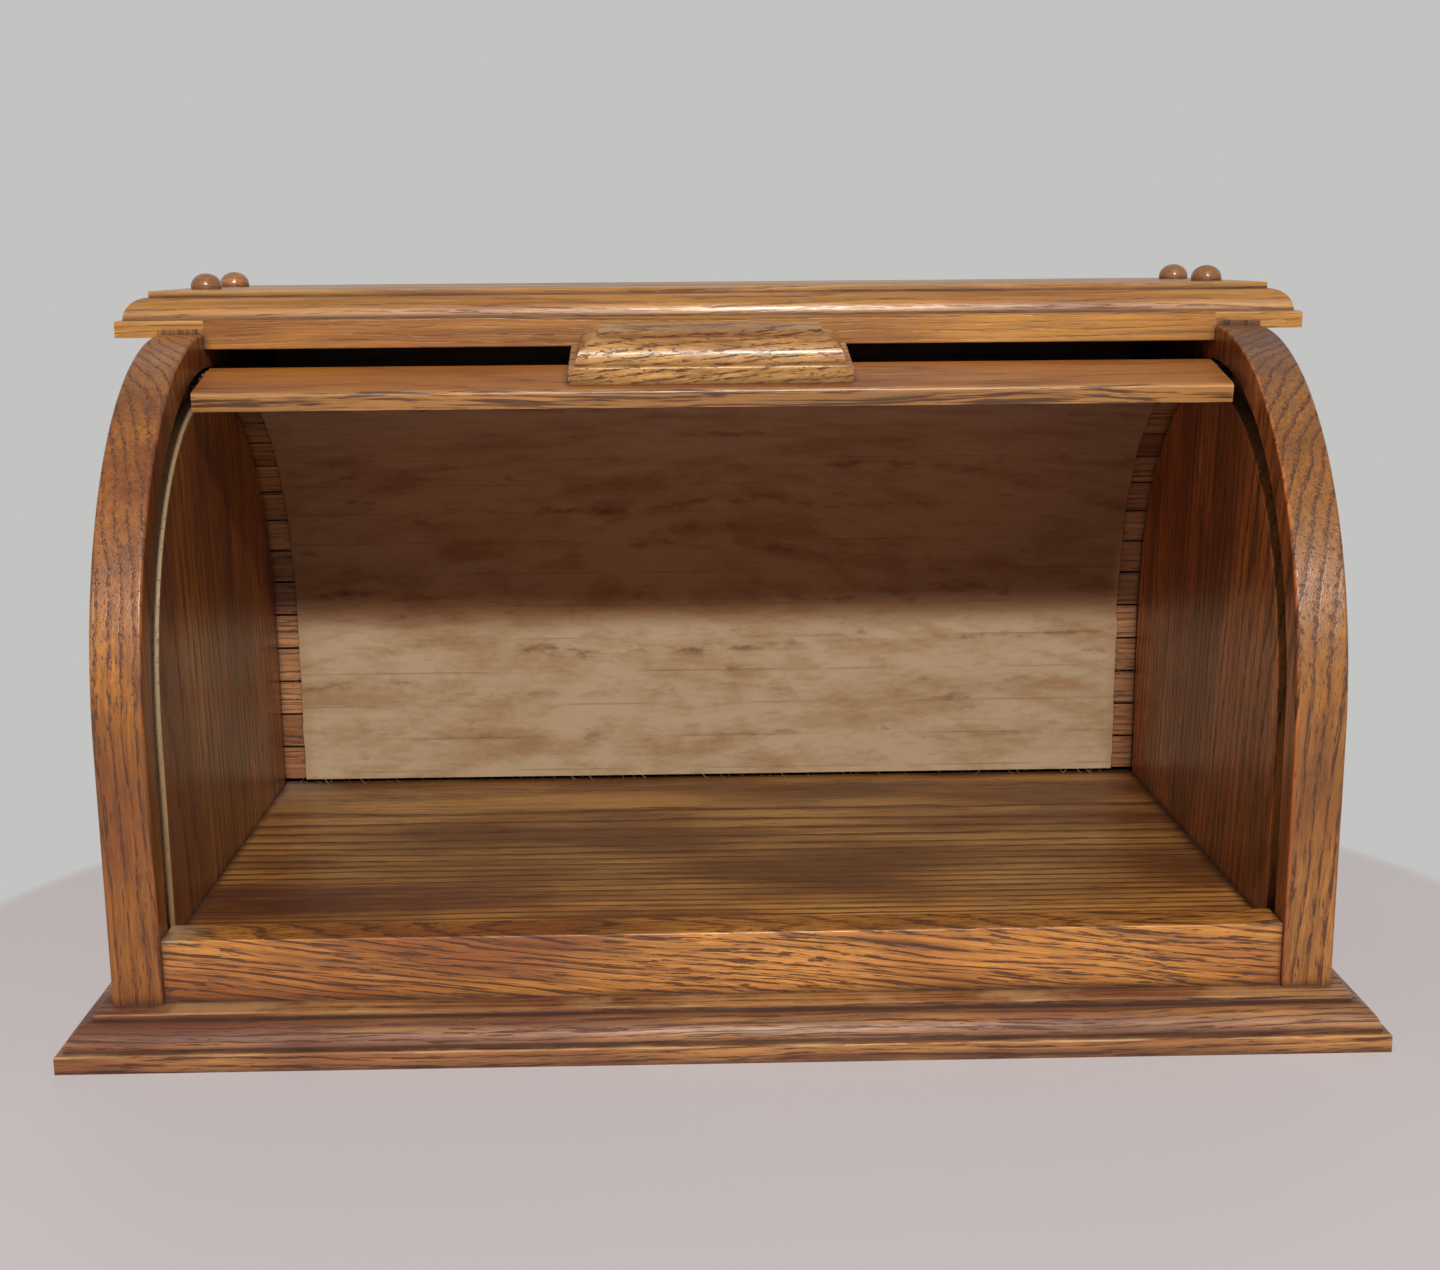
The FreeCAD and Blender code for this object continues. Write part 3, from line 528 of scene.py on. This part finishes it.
def dressCloth():
    path = clothPath()
    lines = bendLines()
    leadLength = math.hypot(path[1][0] - path[0][0], path[1][1] - path[0][1])
    chord = math.hypot(lines[1][0] - lines[0][0], lines[1][1] - lines[0][1])
    total = leadLength + chord * arch["slats"]

    def middle(k):      # along the cloth to the middle of slat k
        return leadLength + chord * (k - 0.5)

    def at(s):
        y, z, _, _ = walk(path, s)
        return (0.0, y, z)

    spans = [("canvasLeadStrip", 0.0, middle(1), "lead", "upper_link", leadLength, "canvas_lead", ["lead_rail", "slat_01"]),
             ("canvasUpperStrip", middle(1), middle(2), "upper_link", "curtain", leadLength + chord, "canvas_01", ["slat_01", "slat_02"]),
             ("canvasBacking", middle(2), middle(13), "curtain", None, 0, "canvas_curtain", ["slat_%02d" % k for k in range(2, 14)])]
    spans += [("canvasTail%d" % k, middle(k - 1), total if k == 17 else middle(k),
               "curtain" if k == 14 else "tail_link_%d" % (k - 1), "tail_link_%d" % k,
               leadLength + chord * (k - 1), "canvas_%02d" % k, ["slat_%02d" % (k - 1), "slat_%02d" % k]) for k in range(14, 18)]
    for name, s0, s1, bodyA, bodyB, bendAt, node, rests in spans:
        piece = clothPiece(name, path, s0, s1)
        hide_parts(node)
        if bodyB:
            at(bendAt - chord * 0.42)
            at(bendAt + chord * 0.42)
            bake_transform(piece)
        else:
            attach(piece, bodyA)
    return path, leadLength, chord, total


clothRun = dressCloth()
print("canvas hung")

# loose threads along the cut edges of the canvas
threadLook = {"spacing": 0.0042, "length": 0.0052, "thickness": 0.00013, "colour": (0.50, 0.37, 0.24)}


def threadNodes():
    tree = bpy.data.node_groups.new("frayedThreads", "GeometryNodeTree")
    face = tree.interface
    face.new_socket("Geometry", in_out="INPUT", socket_type="NodeSocketGeometry")
    for label, kind, value in (("Spacing", "NodeSocketFloat", threadLook["spacing"]),
                               ("Thread Length", "NodeSocketFloat", threadLook["length"]),
                               ("Thread Thickness", "NodeSocketFloat", threadLook["thickness"]),
                               ("Turn Low", "NodeSocketVector", (0, 0, 0)), ("Turn High", "NodeSocketVector", (0, 0, 0)),
                               ("Seed", "NodeSocketInt", 1), ("Thread Material", "NodeSocketMaterial", None)):
        socket = face.new_socket(label, in_out="INPUT", socket_type=kind)
        if value is not None:
            socket.default_value = value
    face.new_socket("Geometry", in_out="OUTPUT", socket_type="NodeSocketGeometry")
    new, link = tree.nodes.new, tree.links.new
    given, result = new("NodeGroupInput"), new("NodeGroupOutput")
    edge = new("GeometryNodeMeshToCurve")
    link(given.outputs["Geometry"], edge.inputs[0])
    spots = new("GeometryNodeCurveToPoints")
    spots.mode = "LENGTH"
    link(edge.outputs[0], spots.inputs["Curve"])
    link(given.outputs["Spacing"], spots.inputs["Length"])
    bow = new("GeometryNodeCurveQuadraticBezier")
    bow.inputs["Resolution"].default_value = 6
    bow.inputs["Start"].default_value = (0, 0, 0)
    bow.inputs["Middle"].default_value = (0.6, 0.25, 0.05)
    bow.inputs["End"].default_value = (0.9, 0.8, 0.15)
    sized = new("GeometryNodeTransform")
    link(bow.outputs[0], sized.inputs["Geometry"])
    spread = new("ShaderNodeCombineXYZ")
    for socket in spread.inputs:
        link(given.outputs["Thread Length"], socket)
    link(spread.outputs[0], sized.inputs["Scale"])
    ring = new("GeometryNodeCurvePrimitiveCircle")
    ring.inputs["Resolution"].default_value = 4
    link(given.outputs["Thread Thickness"], ring.inputs["Radius"])
    thread = new("GeometryNodeCurveToMesh")
    thread.inputs["Fill Caps"].default_value = True
    link(sized.outputs[0], thread.inputs["Curve"])
    link(ring.outputs[0], thread.inputs["Profile Curve"])
    turn, size = new("FunctionNodeRandomValue"), new("FunctionNodeRandomValue")
    turn.data_type, size.data_type = "FLOAT_VECTOR", "FLOAT"
    link(given.outputs["Turn Low"], turn.inputs[0])
    link(given.outputs["Turn High"], turn.inputs[1])
    link(given.outputs["Seed"], turn.inputs["Seed"])
    link(given.outputs["Seed"], size.inputs["Seed"])
    size.inputs[2].default_value, size.inputs[3].default_value = 0.25, 1.0
    strewn = new("GeometryNodeInstanceOnPoints")
    link(spots.outputs["Points"], strewn.inputs["Points"])
    link(thread.outputs[0], strewn.inputs["Instance"])
    link(turn.outputs[0], strewn.inputs["Rotation"])
    link(size.outputs[1], strewn.inputs["Scale"])
    real, coat = new("GeometryNodeRealizeInstances"), new("GeometryNodeSetMaterial")
    link(strewn.outputs[0], real.inputs[0])
    link(real.outputs[0], coat.inputs["Geometry"])
    link(given.outputs["Thread Material"], coat.inputs["Material"])
    link(coat.outputs[0], result.inputs[0])
    return tree


def threadMaterial():
    mat, tree, skin = startMaterial("looseThread")
    drift = noiseAt(tree, place3(tree), 160.0, 2.0, 0.5)
    feed(tree, skin.inputs["Base Color"], blendColour(tree, ramp(tree, drift, 0.3, 0.7), threadLook["colour"], canvasLook["stain"]))
    skin.inputs["Roughness"].default_value = 0.9
    return mat


def layThreads(name, body, points, low, high, seed):
    mesh = bpy.data.meshes.new(name + "Edge")
    mesh.from_pydata(points, [(k, k + 1) for k in range(len(points) - 1)], [])
    edge = bpy.data.objects.new(name + "Edge", mesh)
    scene.collection.objects.link(edge)
    fray = edge.modifiers.new("fray", "NODES")
    fray.node_group = threadTree
    sockets = {s.name: s.identifier for s in threadTree.interface.items_tree if s.in_out == "INPUT"}
    fray[sockets["Turn Low"]], fray[sockets["Turn High"]] = low, high
    fray[sockets["Seed"]], fray[sockets["Thread Material"]] = seed, threadSkin
    bpy.context.view_layer.update()
    made = bpy.data.meshes.new_from_object(edge.evaluated_get(bpy.context.evaluated_depsgraph_get()))
    edge.modifiers.clear()
    bpy.data.objects.remove(edge)
    made.name = name
    piece = bpy.data.objects.new(name, made)
    scene.collection.objects.link(piece)
    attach(piece, body)
    return piece


def frayEdges(run):
    path, leadLength, chord, total = run
    count = 0
    for body, first, last in (("curtain", 2, 13), ("tail_link_14", 14, 14), ("tail_link_15", 15, 15),
                              ("tail_link_16", 16, 16), ("tail_link_17", 17, 17)):
        s0, s1 = leadLength + chord * (first - 0.9), leadLength + chord * (last - 0.1)
        steps = max(2, round((s1 - s0) / 0.004))
        for side in (-1, 1):
            points = []
            for k in range(steps + 1):
                y, z, ty, tz = walk(path, s0 + (s1 - s0) * k / steps)
                points.append((side * (canvasLook["halfWidth"] - 0.0004), y + tz * 0.0005, z - ty * 0.0005))
            turn = 0.0 if side > 0 else math.pi
            layThreads("canvasFray_%s_%s" % (body, "right" if side > 0 else "left"), body, points,
                       (-1.9, -0.15, turn - 0.2), (0.3, 0.15, turn + 0.2), 11 + count)
            count += 1
    y, z, ty, tz = walk(path, total - 0.0006)
    points = [(-0.19 + 0.38 * k / 40, y + tz * 0.0006, z) for k in range(41)]
    layThreads("canvasFray_bottom", "tail_link_17", points, (-0.3, 1.1, -1.6), (0.3, 1.45, 1.6), 5)


threadSkin, threadTree = threadMaterial(), threadNodes()
frayEdges(clothRun)
print("edges frayed")

# floor, lights and backdrop
studio = {"floorColour": (0.76, 0.722, 0.755), "wallColour": (0.545, 0.547, 0.539), "floorMiddle": (0.005, -0.066), "floorReach": (0.338, 0.350),
          "keyPlace": (0.24, -3.30, 2.37), "keySize": 0.34, "keyPower": 140.0,
          "backPlace": (-0.60, 2.90, 0.50), "backSize": 1.6, "backPower": 16.0, "fill": 0.14}


def addLamp(name, place, size, power, colour):
    lamp = bpy.data.lights.new(name, "AREA")
    lamp.shape, lamp.size, lamp.energy, lamp.color = "DISK", size, power, colour
    holder = bpy.data.objects.new(name, lamp)
    place = Vector(place)
    aim = (Vector((0, 0, 0.14)) - place).to_track_quat("-Z", "Y").to_matrix().to_4x4()
    holder.matrix_world = Matrix.Translation(place) @ aim
    scene.collection.objects.link(holder)
    return holder


def seenRays(tree):      # what eye, mirror and glass rays meet
    rays = tree.nodes.new("ShaderNodeLightPath")
    kinds = [rays.outputs[kind] for kind in ("Is Camera Ray", "Is Glossy Ray", "Is Transmission Ray")]
    return maths(tree, "MAXIMUM", maths(tree, "MAXIMUM", kinds[0], kinds[1]), kinds[2])


def makeStudio(spec):
    mesh = bpy.data.meshes.new("studioFloor")
    s = 6.0
    mesh.from_pydata([(-s, -s, 0), (s, -s, 0), (s, s, 0), (-s, s, 0)], [], [(0, 1, 2, 3)])
    floor = bpy.data.objects.new("studioFloor", mesh)
    mat, tree, skin = startMaterial("paleFloor")
    skin.inputs["Base Color"].default_value = (*spec["floorColour"], 1.0)
    skin.inputs["Roughness"].default_value = 0.6
    # far from the box the floor runs into the backdrop's colour
    offset = vecMaths(tree, "SUBTRACT", place3(tree), (*spec["floorMiddle"], 0.0))
    reach = vecMaths(tree, "LENGTH", offset, out=1)
    far = maths(tree, "MULTIPLY", ramp(tree, reach, *spec["floorReach"]), seenRays(tree))
    backdrop = tree.nodes.new("ShaderNodeEmission")
    backdrop.inputs[0].default_value = (*spec["wallColour"], 1.0)
    mix = tree.nodes.new("ShaderNodeMixShader")
    feed(tree, mix.inputs[0], far)
    tree.links.new(skin.outputs[0], mix.inputs[1])
    tree.links.new(backdrop.outputs[0], mix.inputs[2])
    out = [n for n in tree.nodes if n.type == "OUTPUT_MATERIAL"][0]
    tree.links.new(mix.outputs[0], out.inputs[0])
    mesh.materials.append(mat)
    scene.collection.objects.link(floor)
    addLamp("keyLamp", spec["keyPlace"], spec["keySize"], spec["keyPower"], (1.0, 0.97, 0.92))
    back = addLamp("backLamp", spec["backPlace"], spec["backSize"], spec["backPower"], (1.0, 0.98, 0.95))
    back.visible_glossy = False      # fills the back without a glare on the varnish
    world = bpy.data.worlds.new("studioWorld")
    scene.world = world
    world.use_nodes = True
    tree = world.node_tree
    tree.nodes.clear()
    out = tree.nodes.new("ShaderNodeOutputWorld")
    glow, seen = tree.nodes.new("ShaderNodeBackground"), tree.nodes.new("ShaderNodeBackground")
    glow.inputs[0].default_value = (1.0, 0.98, 0.96, 1.0)
    glow.inputs[1].default_value = spec["fill"]
    seen.inputs[0].default_value = (*spec["wallColour"], 1.0)
    mix = tree.nodes.new("ShaderNodeMixShader")
    tree.links.new(seenRays(tree), mix.inputs[0])
    tree.links.new(glow.outputs[0], mix.inputs[1])
    tree.links.new(seen.outputs[0], mix.inputs[2])
    tree.links.new(mix.outputs[0], out.inputs[0])


makeStudio(studio)
print("studio lit")
